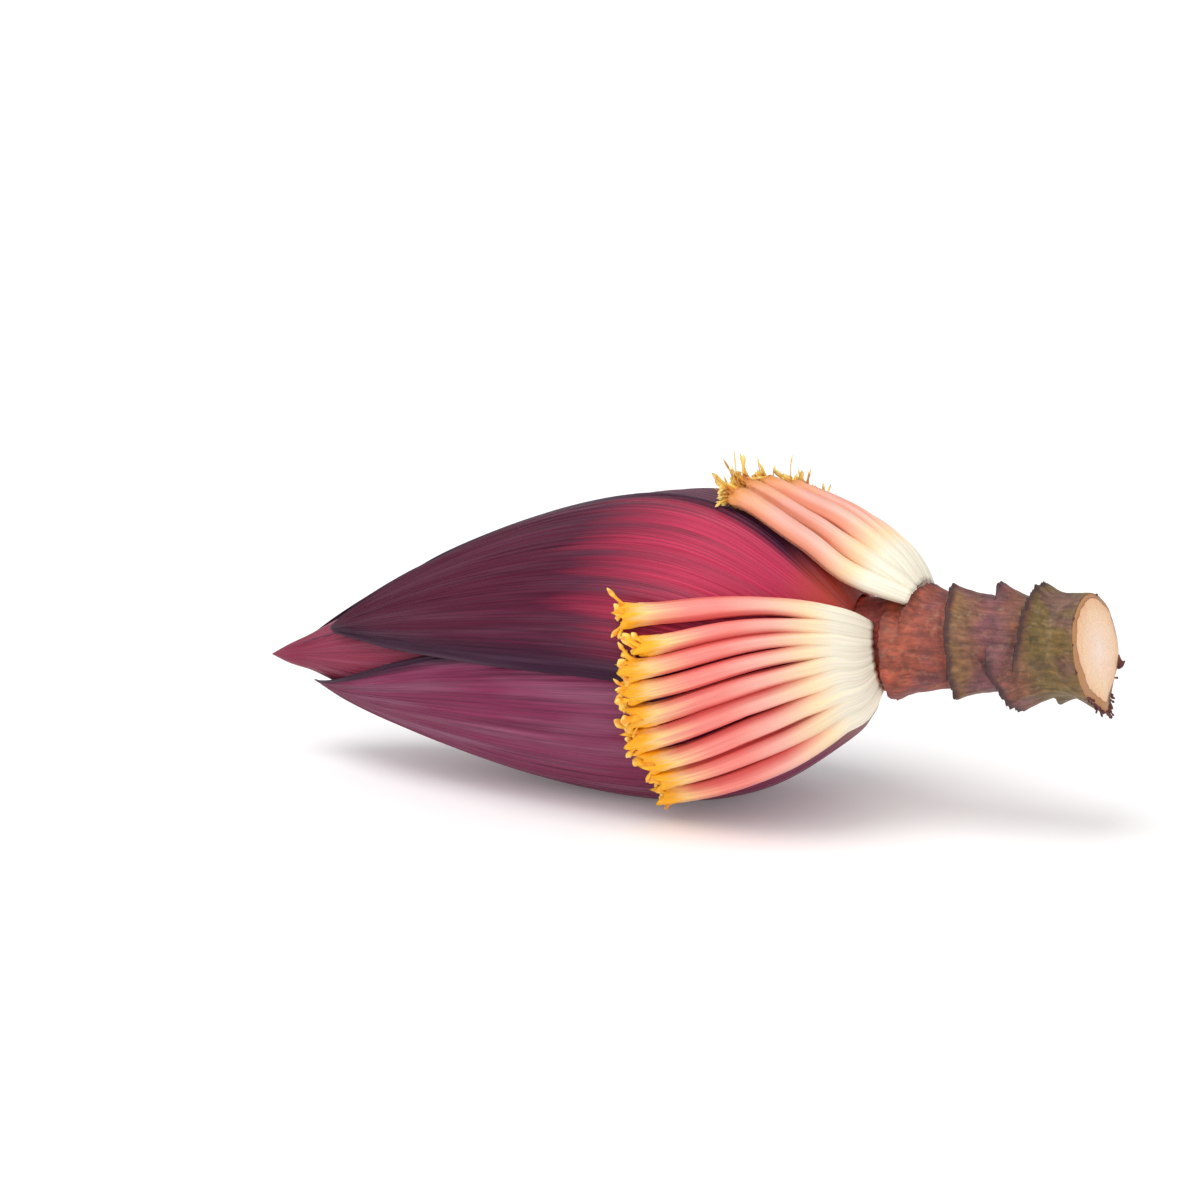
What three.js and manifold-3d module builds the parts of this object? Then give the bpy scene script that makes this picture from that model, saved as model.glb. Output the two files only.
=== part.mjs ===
// A banana blossom cut from its plant and lying on its belly. Three overlapping bracts wrap an inner
// bud whose point shows past them. Two hands of florets lie bare where their own bracts were snapped
// off, and the stalk behind them is ringed by the scars of earlier bracts.
// Millimetres, +Z up, floor at z = 0, +X from the bud's point towards the cut end of the stalk.
//
// Every piece is drawn in bud coordinates first. Its axis is X, with the root of the bracts near
// x = 0 and the point at x = -BUD_LENGTH. phi is the angle round the axis in degrees: 0 faces -Y,
// 90 is the top, 180 the back and -90 the underside.
import * as THREE from "three";
import { mergeVertices } from "three/addons/utils/BufferGeometryUtils.js";
import Module from "manifold-3d";

const { degToRad, lerp, smoothstep, clamp, euclideanModulo } = THREE.MathUtils;

// ---- Driving dimensions ----
const BUD_LENGTH = 167; // from the root of the bracts to the point
const HEART_RADIUS = 37.5; // of the inner bud, without the bracts
const WIDEST = 0.283; // where the bud is widest, as a share of its length
const SHOULDER = 0.34; // power of the blunt shoulder: less is squarer
const NECK_RADIUS = 11.8; // where the inner bud and the bracts are rooted
const SHOULDER_LEAN = 0.2; // the shoulder lies further back below the axis than above it
const UNDER_TUCK = 5; // how far the underside is drawn in at TUCK_AT from the root
const TUCK_AT = 13;
const PITCH = 6; // degrees that the stalk is lifted as the bud lies on its belly
const AXIS_HEIGHT = 43.6; // of the axis above the floor at x = 0
const REST_X = 52.8; // from the root to the middle of the resting patch

const GAP = 0.45; // between pieces that lie on each other
const BRACT_THICK = 1.9;
const BRACT_ROOT_THICK = 1.5;
const BRACT_EDGE_THICK = 0.4;
const DRAPE = 8; // a bract comes down over the edge of the one below within this width

const STALK_END = 59.5;
const STALK_RADIUS = 11.8;
const STALK_CORE_RADIUS = 11.2; // between the bracts' roots
const COLLAR_X = 8.5; // the first scar's rim, which covers the florets' roots
const STALK_DROOP = 0.0009; // sag of the stalk's centre line, per millimetre

// ---- Bracts, from the innermost to the outermost ----
// Each one reaches half degrees to both sides of its centre line, at its root and from its middle on.
const BRACTS = [
  {
    name: "bract_under",
    colour: 0x7a3557,
    apex: 153,
    centre: [-70, -67],
    half: [80, 82],
  },
  {
    name: "bract_back",
    colour: 0x6d2a49,
    apex: 159,
    centre: [117, 155],
    half: [105, 80],
  },
  {
    name: "bract_front",
    colour: 0xa03355,
    apex: 144,
    centre: [8, 48],
    half: [33, 43],
  },
];

// ---- Hands of florets ----
// How far each floret reaches along the bud, and its phi at its root, its knee and its mouth. The
// knees are at kneeAt along the bud. The roots stand rootHeight above the inner bud, on the stalk,
// and each floret comes down to the bracts over its own landing.
const FRONT_HAND = {
  name: "front_floret",
  reach: [50.2, 45, 48.6, 49.6, 49.4, 51, 49.2, 47.6, 49],
  root: [27, 18, 10, 2, -6, -15, -25, -37, -51],
  knee: [26, 19, 13, 7, 0.5, -7, -16, -26, -37],
  mouth: [21.3, 11.2, 4, -3.4, -12.3, -21, -29.9, -38, -46.8],
  kneeAt: 5,
  rootHeight: 7,
  landing: [5, 5, 5, 5, 5, 5, 5, 5, 5],
};
const TOP_HAND = {
  name: "top_floret",
  reach: [28.3, 27, 24.4, 20, 19.5, 19, 18.5],
  root: [59, 69, 80, 91, 101, 111, 121],
  knee: [63, 76, 86.5, 97.5, 109, 120.5, 132],
  mouth: [74, 84.5, 94, 103.5, 113, 123, 133],
  kneeAt: 9,
  rootHeight: 17,
  landing: [1.2, 3, 5.5, 6, 6, 6, 6],
};
const FLORET_HALF_WIDTH = 3.15;
const FLORET_GAP = 0.5;

// ---- Scars on the stalk ----
// Each rim stands rise high towards the bud, fades back over length, and covers span degrees to
// both sides of phi. lean moves the rim along the stalk per degree, and bow by its square.
const SCARS = [
  { x: 8.5, phi: -45, span: 105, rise: 3, length: 15, lean: 0.01, bow: 0 },
  { x: 17, phi: 80, span: 60, rise: 2.8, length: 8, lean: 0.06, bow: 0 },
  { x: 25.8, phi: 10, span: 120, rise: 3, length: 12, lean: 0, bow: -0.0001 },
  { x: 28, phi: 190, span: 62, rise: 3, length: 12, lean: -0.03, bow: 0 },
  { x: 38.5, phi: -50, span: 62, rise: 4.6, length: 14, lean: -0.05, bow: 0 },
  { x: 36.5, phi: 120, span: 50, rise: 3.6, length: 9, lean: 0, bow: 0 },
  { x: 45.5, phi: 50, span: 75, rise: 4, length: 13, lean: 0.045, bow: 0 },
  { x: 47, phi: 215, span: 66, rise: 3.6, length: 11, lean: 0.03, bow: 0 },
];

// ---- The bud's surface ----

// Radius of the inner bud at s from the root.
function heartRadius(s) {
  const u = clamp(s / BUD_LENGTH, 0, 1);
  return (HEART_RADIUS * (u / WIDEST) ** SHOULDER * (1 - u)) / (1 - WIDEST);
}

// s where the shoulder has come in to the neck, found by halving.
function neckPlace() {
  let low = 0;
  let high = BUD_LENGTH * WIDEST;
  for (let i = 0; i < 40; i++) {
    const middle = (low + high) / 2;
    if (heartRadius(middle) < NECK_RADIUS) low = middle;
    else high = middle;
  }
  return high;
}
const ROOT = neckPlace();

// The point that stands height above the inner bud, at s along it and phi round it.
function budPoint(s, phi, height) {
  const step = 0.01;
  const slope = (heartRadius(s + step) - heartRadius(s - step)) / (2 * step);
  const steep = Math.hypot(1, slope);
  const angle = degToRad(phi);
  const under = smoothstep(-Math.sin(angle), 0.76, 1);
  const tuck = UNDER_TUCK * under * ((s / TUCK_AT) * Math.exp(1 - s / TUCK_AT)) ** 2;
  const radius = heartRadius(s) + height / steep - tuck;
  const lean = SHOULDER_LEAN * (heartRadius(s) - NECK_RADIUS) * Math.exp(-s / 25);
  const x = -s + (height * slope) / steep - lean * Math.sin(angle);
  return new THREE.Vector3(
    x,
    -radius * Math.cos(angle),
    radius * Math.sin(angle),
  );
}

// The difference between two angles, from -180 to 180 degrees.
const turn = (a, b) => euclideanModulo(a - b + 180, 360) - 180;

const bractCentre = (bract, s) => lerp(...bract.centre, 1 - Math.exp(-s / 30));

function bractHalf(bract, s) {
  const along = clamp(s / bract.apex, 0, 1);
  const taper = (1 - along ** 6) ** 0.6;
  return lerp(...bract.half, 1 - Math.exp(-s / 30)) * taper;
}

// Thickness at across, from -1 at one edge of the bract to 1 at the other.
function bractThickness(bract, s, across) {
  const middle = lerp(BRACT_ROOT_THICK, BRACT_THICK, smoothstep(s, 0, 20));
  const fullness = (1 - across ** 8) * (1 - clamp(s / bract.apex, 0, 1) ** 12);
  return lerp(BRACT_EDGE_THICK, middle, fullness);
}

// Height above the inner bud of what the first count bracts make.
function layersTop(count, s, phi) {
  let top = 0;
  for (const bract of BRACTS.slice(0, count)) {
    const half = bractHalf(bract, s);
    const off = Math.abs(turn(phi, bractCentre(bract, s)));
    if (off <= half && s < bract.apex) {
      top += GAP + bractThickness(bract, s, off / half);
      continue;
    }
    const beyond = degToRad(off - half) * heartRadius(s);
    const past = Math.max(0, s - bract.apex);
    const near = 1 - smoothstep(Math.hypot(beyond, past), 0, DRAPE);
    top += near * (GAP + BRACT_EDGE_THICK);
  }
  return top;
}

// ---- Solids ----

// A closed solid through rings that all have the same even number of points. Each end is closed by
// strips across its ring, so a ring can be a thin crescent as well as a round section.
function loft(rings) {
  const n = rings[0].length;
  const last = (rings.length - 1) * n;
  const index = [];
  for (let i = 0; i + 1 < rings.length; i++) {
    for (let j = 0; j < n; j++) {
      const a = i * n + j;
      const b = i * n + ((j + 1) % n);
      index.push(a, b, b + n, a, b + n, a + n);
    }
  }
  for (let j = 0; j < n / 2 - 1; j++) {
    const [a, b, c, d] = [j, j + 1, n - 2 - j, n - 1 - j];
    index.push(a, d, c, a, c, b);
    index.push(last + a, last + c, last + d, last + a, last + b, last + c);
  }
  const geometry = new THREE.BufferGeometry();
  geometry.setFromPoints(rings.flat());
  geometry.setIndex(index);
  return mergeVertices(geometry, 1e-4);
}

// Shares from 0 to 1, closer together at both ends, most of all at the start for a power over 1.
const shares = (count, power) =>
  Array.from({ length: count + 1 }, (_, i) => smoothstep((i / count) ** power, 0, 1));

// The inner bud, solid from its root to the point of the blossom.
function innerBud() {
  const rows = 18;
  const sides = 24;
  const rings = shares(rows, 1.3).map((share) => {
    const s = lerp(ROOT, BUD_LENGTH, share);
    return Array.from({ length: sides }, (_, j) =>
      budPoint(s, (360 * j) / sides, 0),
    );
  });
  return loft(rings);
}

// A bract, from its root to its apex, lying on the layers below it.
function bractShell(layer) {
  const bract = BRACTS[layer];
  const rows = 20;
  const columns = 18;
  const rings = shares(rows, 1.3).map((share) => {
    const s = lerp(ROOT, bract.apex, share);
    const outer = [];
    const inner = [];
    for (let j = 0; j <= columns; j++) {
      const across = (2 * j) / columns - 1;
      const phi = bractCentre(bract, s) + across * bractHalf(bract, s);
      const bottom = layersTop(layer, s, phi) + GAP;
      inner.push(budPoint(s, phi, bottom));
      outer.push(
        budPoint(s, phi, bottom + bractThickness(bract, s, across)),
      );
    }
    return [...outer, ...inner.reverse()];
  });
  return loft(rings);
}

// Degrees from the angle at i to the nearer of its neighbours.
function toNeighbour(angles, i) {
  const steps = [angles[i - 1], angles[i + 1]].map((other) => Math.abs(other - angles[i]));
  return Math.min(...steps.filter((step) => step > 0));
}

// One floret: a narrow flattened root, a bend at its knee and a fuller tube to its open mouth.
function floret(hand, i) {
  const rows = 11;
  const sides = 8;
  const reach = hand.reach[i];
  const [root, knee, mouth] = [hand.root, hand.knee, hand.mouth].map((angles) => [
    angles[i],
    toNeighbour(angles, i),
  ]);
  const between = (s, k) =>
    root[k] +
    (knee[k] - root[k]) * smoothstep(s, 0, hand.kneeAt) +
    (mouth[k] - knee[k]) * smoothstep(s, hand.kneeAt, reach);
  const under = (s) => layersTop(BRACTS.length, s, between(s, 0)) + FLORET_GAP;
  const halfDepth = (s) => lerp(1.3, 2.7, smoothstep(s, 0, reach / 3));
  const rootLift = hand.rootHeight - under(ROOT) - halfDepth(ROOT);
  const place = (s, extra = 0) => {
    const lift = rootLift * Math.exp((ROOT - s) / hand.landing[i]);
    return budPoint(s, between(s, 0), under(s) + halfDepth(s) + lift + extra);
  };
  const rings = shares(rows, 1.1).map((share) => {
    const s = lerp(ROOT, reach, share);
    const middle = place(s);
    const along = place(s + 0.05).sub(place(s - 0.05)).normalize();
    const outward = place(s, 1).sub(middle);
    const sideways = new THREE.Vector3().crossVectors(outward, along).normalize();
    outward.crossVectors(along, sideways);
    const room = (degToRad(between(s, 1)) * Math.hypot(middle.y, middle.z)) / 2;
    const halfWidth = Math.min(FLORET_HALF_WIDTH, room - 0.25);
    return Array.from({ length: sides }, (_, j) => {
      const angle = (2 * Math.PI * (j + 0.5)) / sides;
      return middle
        .clone()
        .addScaledVector(sideways, halfWidth * Math.cos(angle))
        .addScaledVector(outward, halfDepth(s) * Math.sin(angle));
    });
  });
  return loft(rings);
}

// Radius of the stalk at x along it and phi round it, with every scar that reaches there.
function stalkRadius(x, phi) {
  if (x < COLLAR_X) return STALK_CORE_RADIUS;
  let radius = STALK_RADIUS + 2 * smoothstep(x, STALK_END - 8, STALK_END);
  for (const scar of SCARS) {
    const off = turn(phi, scar.phi);
    const rim = scar.x + scar.lean * off + scar.bow * off ** 2;
    const behind = (x - rim) / scar.length;
    const cover = smoothstep(1 - Math.abs(off) / scar.span, 0, 0.4);
    const front = smoothstep(x - rim, -1, 0);
    radius += scar.rise * cover * front * clamp(1 - behind, 0, 1) ** 2;
  }
  return radius;
}

// The stalk, from inside the bracts' roots to its cut end.
function stalk() {
  const sides = 20;
  const rows = 32;
  const places = [
    GAP - ROOT,
    COLLAR_X - 0.01,
    ...Array.from({ length: rows + 1 }, (_, i) => lerp(COLLAR_X, STALK_END, i / rows)),
  ];
  const rings = places.map((x) => {
    const sag = -STALK_DROOP * Math.max(0, x) ** 2;
    return Array.from({ length: sides }, (_, j) => {
      const phi = (360 * j) / sides;
      const radius = stalkRadius(x, phi);
      const angle = degToRad(phi);
      const across = 0.15 * Math.cos(angle) + 0.09 * Math.sin(angle);
      const slant = -radius * across * smoothstep(x, 42, STALK_END);
      return new THREE.Vector3(
        x + slant,
        -radius * Math.cos(angle),
        radius * Math.sin(angle) + sag,
      );
    });
  });
  return loft(rings.reverse());
}

// ---- The blossom as it lies ----

const blossom = new THREE.Group();
blossom.name = "banana_blossom";

const lying = new THREE.Group();
lying.rotation.y = degToRad(-PITCH);
lying.position.set(REST_X * Math.cos(degToRad(PITCH)), 0, AXIS_HEIGHT);
blossom.add(lying);
blossom.updateMatrixWorld(true);

const wasm = await Module();
wasm.setup();

function toSolid(geometry) {
  return new wasm.Manifold(
    new wasm.Mesh({
      numProp: 3,
      vertProperties: new Float32Array(geometry.attributes.position.array),
      triVerts: new Uint32Array(geometry.index.array),
    }),
  );
}

function toGeometry(solid) {
  const mesh = solid.getMesh();
  const geometry = new THREE.BufferGeometry();
  geometry.setAttribute(
    "position",
    new THREE.BufferAttribute(mesh.vertProperties, 3),
  );
  geometry.setIndex(new THREE.BufferAttribute(mesh.triVerts, 1));
  return geometry;
}

// The fleshy underside presses flat where it lies on the floor.
function flattenedOnFloor(geometry) {
  const size = 400;
  const floor = new THREE.BoxGeometry(size, size, size);
  floor.translate(0, 0, -size / 2);
  floor.applyMatrix4(lying.matrixWorld.clone().invert());
  floor.deleteAttribute("normal");
  floor.deleteAttribute("uv");
  const cut = toSolid(geometry).subtract(toSolid(mergeVertices(floor)));
  return toGeometry(cut);
}

function add(name, geometry, colour, roughness) {
  const material = new THREE.MeshStandardMaterial({
    color: colour,
    roughness,
    metalness: 0,
  });
  const mesh = new THREE.Mesh(geometry, material);
  mesh.name = name;
  lying.add(mesh);
}

add("stalk", stalk(), 0x8f5f41, 0.7);
add("inner_bud", innerBud(), 0x8c2b45, 0.45);
BRACTS.forEach((bract, layer) => {
  const shell = bractShell(layer);
  add(bract.name, flattenedOnFloor(shell), bract.colour, 0.42);
});
for (const hand of [FRONT_HAND, TOP_HAND]) {
  hand.reach.forEach((_, i) => {
    add(`${hand.name}_${i + 1}`, floret(hand, i), 0xf2a48e, 0.5);
  });
}

export default blossom;
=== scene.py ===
# A banana blossom cut from its plant and lying on its belly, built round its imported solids.
import math
import random

import bpy
import numpy as np
from bpy.props import FloatProperty, FloatVectorProperty, IntProperty, PointerProperty
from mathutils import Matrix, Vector, noise


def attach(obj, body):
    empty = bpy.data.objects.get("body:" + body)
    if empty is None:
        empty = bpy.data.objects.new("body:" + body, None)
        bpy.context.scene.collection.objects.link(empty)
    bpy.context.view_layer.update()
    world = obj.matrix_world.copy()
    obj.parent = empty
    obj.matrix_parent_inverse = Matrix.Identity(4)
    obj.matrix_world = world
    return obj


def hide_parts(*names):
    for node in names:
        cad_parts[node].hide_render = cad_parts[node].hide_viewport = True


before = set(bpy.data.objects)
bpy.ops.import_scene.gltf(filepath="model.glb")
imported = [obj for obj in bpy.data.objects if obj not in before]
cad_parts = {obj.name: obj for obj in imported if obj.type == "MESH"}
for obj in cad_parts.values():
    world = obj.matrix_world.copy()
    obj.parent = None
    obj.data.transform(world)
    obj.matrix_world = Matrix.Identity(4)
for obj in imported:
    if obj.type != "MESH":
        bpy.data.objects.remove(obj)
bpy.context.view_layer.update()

bl_info = {
    "name": "Banana Blossom",
    "version": (1, 0, 0),
    "blender": (4, 5, 0),
    "location": "View3D > Sidebar > Blossom",
    "description": "Bracts, florets, stalk and stage of a cut banana blossom",
    "category": "Add Mesh",
}

MM = 0.001


def linear(hex_colour):
    """A scene-linear colour from an sRGB hex value."""
    channels = [int(hex_colour[i : i + 2], 16) / 255 for i in (1, 3, 5)]
    return tuple(
        c / 12.92 if c <= 0.04045 else ((c + 0.055) / 1.055) ** 2.4 for c in channels
    )


def mix_colours(a, b, t):
    return tuple(p + (q - p) * t for p, q in zip(a, b))


def smooth(x, low, high):
    t = np.clip((np.asarray(x, float) - low) / (high - low), 0, 1)
    return t * t * (3 - 2 * t)


def mix(a, b, t):
    return a + (b - a) * t


# ---- Sizes and colours that a user would change ----


def a_length(name, metres, description):
    return FloatProperty(name=name, default=metres, description=description, unit="LENGTH")


def an_angle(name, degrees, description):
    return FloatProperty(
        name=name, default=math.radians(degrees), description=description, subtype="ANGLE"
    )


def a_colour(name, hex_colour, description):
    return FloatVectorProperty(
        name=name, default=linear(hex_colour), description=description, subtype="COLOR"
    )


class BLOSSOM_PG_bud(bpy.types.PropertyGroup):
    length: a_length("Length", 0.167, "From the root of the bracts to the point")
    radius: a_length("Radius", 0.0375, "Of the inner bud where it is widest")
    widest: FloatProperty(name="Widest at", default=0.283, description="Share of the length")
    shoulder: FloatProperty(name="Shoulder", default=0.34, description="Less is squarer")
    neck: a_length("Neck", 0.0118, "Radius at the roots")
    pitch: an_angle("Pitch", 6, "Lift of the stalk as the bud lies on its belly")
    axis_height: a_length("Axis height", 0.0436, "Of the bud's axis above the floor at the roots")
    rest: a_length("Rest", 0.0528, "From the roots to the middle of the resting patch")
    vein_spacing: a_length("Vein spacing", 0.0016, "Between the veins where bracts are widest")
    vein_height: a_length("Vein height", 0.0003, "Of the ridges over the veins")
    # The crimson is paled towards pink: partly the bract's own colour, partly painted sheen.
    crimson: a_colour("Crimson", "#B63050", "Of the front bract at its fullest")
    maroon: a_colour("Maroon", "#4E0A2A", "Of the bracts towards the point")
    plum: a_colour("Plum", "#762248", "Of the bract that lies underneath")
    bloom: a_colour("Bloom", "#300C28", "Bluish purple along the margins")
    root_red: a_colour("Root red", "#C04A3A", "Of the bracts' roots and the inner bud")


class BLOSSOM_PG_floret(bpy.types.PropertyGroup):
    width: a_length("Width", 0.0064, "Of one floret")
    depth: a_length("Depth", 0.0054, "Of one floret")
    cream: a_colour("Cream", "#FAF1DC", "At the root")
    orange: a_colour("Orange", "#FDAE14", "Of the mouth")


class BLOSSOM_PG_stalk(bpy.types.PropertyGroup):
    radius: a_length("Radius", 0.0118, "Between the scars")
    end: a_length("End", 0.0595, "Length to the cut")
    collar: a_length("Collar", 0.0085, "Place of the first scar, over the florets' roots")
    sides: IntProperty(name="Sides", default=132, min=24, description="Faces round the stalk")
    russet: a_colour("Russet", "#9C4B36", "Near the bud")
    olive: a_colour("Olive", "#665226", "Near the cut")
    scar: a_colour("Scar", "#2E1A1E", "Dried edge of a scar")
    flesh: a_colour("Flesh", "#FFDCC4", "Of the cut face")


class BLOSSOM_PG_stage(bpy.types.PropertyGroup):
    azimuth: an_angle("Azimuth", 22, "Of the camera, from the front towards the stalk")
    elevation: an_angle("Elevation", 12, "Of the camera")
    distance: a_length("Distance", 0.8, "Of the camera")
    target: FloatVectorProperty(
        name="Target",
        default=(-0.0088, -0.0225, 0.0538),
        description="Point that the camera looks at",
        subtype="TRANSLATION",
    )
    lens: FloatProperty(name="Lens", default=96.0, description="Focal length in millimetres")
    floor: a_colour("Floor", "#FCFBFB", "Pale floor")


# ---- The bud's surface ----

# Millimetres and degrees. Each bract ends at apex along the bud and reaches half to both sides of
# its centre line. centre and half go from their first value, at the root, to their second over
# SETTLE. The innermost bract comes first.
BRACTS = [
    {"name": "bract_under", "apex": 153, "centre": (-70, -67), "half": (80, 82)},
    {"name": "bract_back", "apex": 159, "centre": (117, 155), "half": (105, 80)},
    {"name": "bract_front", "apex": 144, "centre": (8, 48), "half": (33, 43)},
]
SETTLE = 30
# Clear space between layers, and a bract's thickness in its middle, at its root and at its margin.
GAP = 0.45
THICK = 1.9
ROOT_THICK = 1.5
EDGE_THICK = 0.4
# Past a bract's margin, the layers over it come down over DRAPE.
DRAPE = 8
# The shoulder lies further back below the axis than above it, less and less over LEAN_FADE.
SHOULDER_LEAN = 0.2
LEAN_FADE = 25
# The underside is drawn in by UNDER_TUCK at TUCK_AT along the bud.
UNDER_TUCK = 5
TUCK_AT = 13


class Bud:
    """The heart-shaped bud and its layers. Lengths are in millimetres and angles in degrees."""

    def __init__(self, settings):
        self.length = settings.length / MM
        self.widest_radius = settings.radius / MM
        self.widest = settings.widest
        self.shoulder = settings.shoulder
        self.neck = settings.neck / MM
        self.pitch = settings.pitch
        self.axis_height = settings.axis_height / MM
        self.rest = settings.rest / MM
        places = np.linspace(1e-3, self.length * self.widest, 20001)
        self.root = float(np.interp(self.neck, self.radius(places), places))

    def radius(self, s):
        u = np.clip(np.asarray(s, float) / self.length, 1e-9, 1)
        swell = (u / self.widest) ** self.shoulder
        return self.widest_radius * swell * (1 - u) / (1 - self.widest)

    def local(self, s, phi, height):
        """The point height above the inner bud, in bud coordinates: X towards the cut."""
        step = 0.01
        slope = (self.radius(s + step) - self.radius(s - step)) / (2 * step)
        steep = np.hypot(1, slope)
        bare = self.radius(s)
        angle = np.radians(phi)
        drawn_in = s / TUCK_AT * np.exp(1 - s / TUCK_AT)
        tuck = UNDER_TUCK * smooth(-np.sin(angle), 0.76, 1) * drawn_in**2
        radius = bare + height / steep - tuck
        lean = SHOULDER_LEAN * (bare - self.neck) * np.exp(-s / LEAN_FADE)
        x = -s + height * slope / steep - lean * np.sin(angle)
        return np.stack(
            np.broadcast_arrays(x, -radius * np.cos(angle), radius * np.sin(angle)), -1
        )

    def world(self, local):
        """Bud coordinates in millimetres to the lying blossom in metres."""
        c, s = math.cos(self.pitch), math.sin(self.pitch)
        x = local[..., 0] * c - local[..., 2] * s + self.rest * c
        z = local[..., 0] * s + local[..., 2] * c + self.axis_height
        return np.stack([x, local[..., 1], z], -1) * MM

    def centre(self, bract, s):
        return mix(*bract["centre"], 1 - np.exp(-s / SETTLE))

    def half(self, bract, s):
        along = np.clip(s / bract["apex"], 0, 1)
        taper = (1 - along**6) ** 0.6
        return mix(*bract["half"], 1 - np.exp(-s / SETTLE)) * taper

    def thickness(self, bract, s, across):
        middle = mix(ROOT_THICK, THICK, smooth(s, 0, 20))
        along = np.clip(s / bract["apex"], 0, 1)
        fullness = (1 - np.abs(across) ** 8) * (1 - along**12)
        return mix(EDGE_THICK, middle, fullness)

    def layers_top(self, count, s, phi):
        """Height above the inner bud of what the first count bracts make."""
        top = 0
        for bract in BRACTS[:count]:
            half = np.maximum(self.half(bract, s), 1e-3)
            off = np.abs((phi - self.centre(bract, s) + 180) % 360 - 180)
            inside = (off <= half) & (s < bract["apex"])
            body = GAP + self.thickness(bract, s, np.minimum(off / half, 1))
            beyond = np.radians(off - half) * self.radius(s)
            past = np.maximum(0, s - bract["apex"])
            near = 1 - smooth(np.hypot(beyond, past), 0, DRAPE)
            top = top + np.where(inside, body, near * (GAP + EDGE_THICK))
        return top


# ---- Modelling helpers ----


def clear_selection():
    if bpy.context.object and bpy.context.object.mode != "OBJECT":
        bpy.ops.object.mode_set(mode="OBJECT")
    bpy.ops.object.select_all(action="DESELECT")


def activate(piece):
    clear_selection()
    piece.select_set(True)
    bpy.context.view_layer.objects.active = piece


def coordinates(piece):
    co = np.empty(len(piece.data.vertices) * 3)
    piece.data.vertices.foreach_get("co", co)
    return co.reshape(-1, 3)


def move_vertices(piece, co):
    piece.data.vertices.foreach_set("co", np.asarray(co, float).ravel())
    piece.data.update()


def paint(piece, name, values):
    """Stores three numbers for each vertex, which the piece's material reads."""
    attribute = piece.data.attributes.new(name, "FLOAT_VECTOR", "POINT")
    attribute.data.foreach_set("vector", np.asarray(values, float).ravel())


def flat_sheet(name, columns, rows):
    """A grid on the XY plane, from -1 to 1 each way."""
    clear_selection()
    bpy.ops.mesh.primitive_grid_add(
        x_subdivisions=columns, y_subdivisions=rows, size=2, location=(0, 0, 0)
    )
    piece = bpy.context.object
    piece.name = name
    return piece


def disc(name, vertices, faces_along_x=False):
    """A flat disc of radius 1 round the origin."""
    clear_selection()
    turn = (0, math.pi / 2, 0) if faces_along_x else (0, 0, 0)
    bpy.ops.mesh.primitive_circle_add(
        vertices=vertices, radius=1, fill_type="NGON", location=(0, 0, 0), rotation=turn
    )
    piece = bpy.context.object
    piece.name = name
    bpy.ops.object.transform_apply(location=False, rotation=True, scale=False)
    return piece


def join(pieces, name):
    clear_selection()
    for piece in pieces:
        piece.select_set(True)
    bpy.context.view_layer.objects.active = pieces[0]
    bpy.ops.object.join()
    joined = bpy.context.object
    joined.name = name
    return joined


def close_and_smooth(piece, weld=0.0):
    """Welds seams, closes holes, turns every face outwards and shades the piece smooth."""
    activate(piece)
    bpy.ops.object.mode_set(mode="EDIT")
    bpy.ops.mesh.select_all(action="SELECT")
    if weld:
        bpy.ops.mesh.remove_doubles(threshold=weld)
    bpy.ops.mesh.select_all(action="SELECT")
    bpy.ops.mesh.fill_holes(sides=0)
    bpy.ops.mesh.select_all(action="SELECT")
    bpy.ops.mesh.normals_make_consistent(inside=False)
    bpy.ops.object.mode_set(mode="OBJECT")
    bpy.ops.object.shade_smooth()


def thicken(piece, thickness, share):
    """Gives a sheet its thickness, inwards, with each vertex's share of it."""
    group = piece.vertex_groups.new(name="thickness")
    for index, weight in enumerate(share):
        group.add([index], float(weight), "REPLACE")
    activate(piece)
    wall = piece.modifiers.new("wall", "SOLIDIFY")
    wall.thickness = thickness
    wall.offset = -1
    wall.vertex_group = group.name
    wall.use_rim = True
    bpy.ops.object.modifier_apply(modifier=wall.name)
    piece.vertex_groups.clear()


def grain(points, seed):
    """Smooth noise from -1 to 1 at each point, the same on every run."""
    return np.array([noise.noise(Vector((x, y, seed))) for x, y in points])


def dress(piece, material, nodes):
    """Gives a finished piece its material and its body, and hides the solids that it stands for.
    """
    piece.data.materials.clear()
    piece.data.materials.append(material)
    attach(piece, "root")
    if nodes:
        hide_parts(*nodes)


def node(tree, kind, inputs=(), stops=(), **settings):
    """Adds a node with its settings, its ramp's stops and its inputs, linked or set."""
    made = tree.nodes.new(kind)
    for name, value in settings.items():
        setattr(made, name, value)
    for key, value in dict(inputs).items():
        if isinstance(value, bpy.types.NodeSocket):
            tree.links.new(value, made.inputs[key])
        else:
            made.inputs[key].default_value = value
    for index, (place, colour) in enumerate(stops):
        elements = made.color_ramp.elements
        element = elements[index] if index < 2 else elements.new(place)
        element.position = place
        element.color = (*colour[:3], 1)
    return made


def new_material(name):
    material = bpy.data.materials.new(name)
    material.use_nodes = True
    material.node_tree.nodes.clear()
    return material, material.node_tree


# ---- Bracts ----


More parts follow.
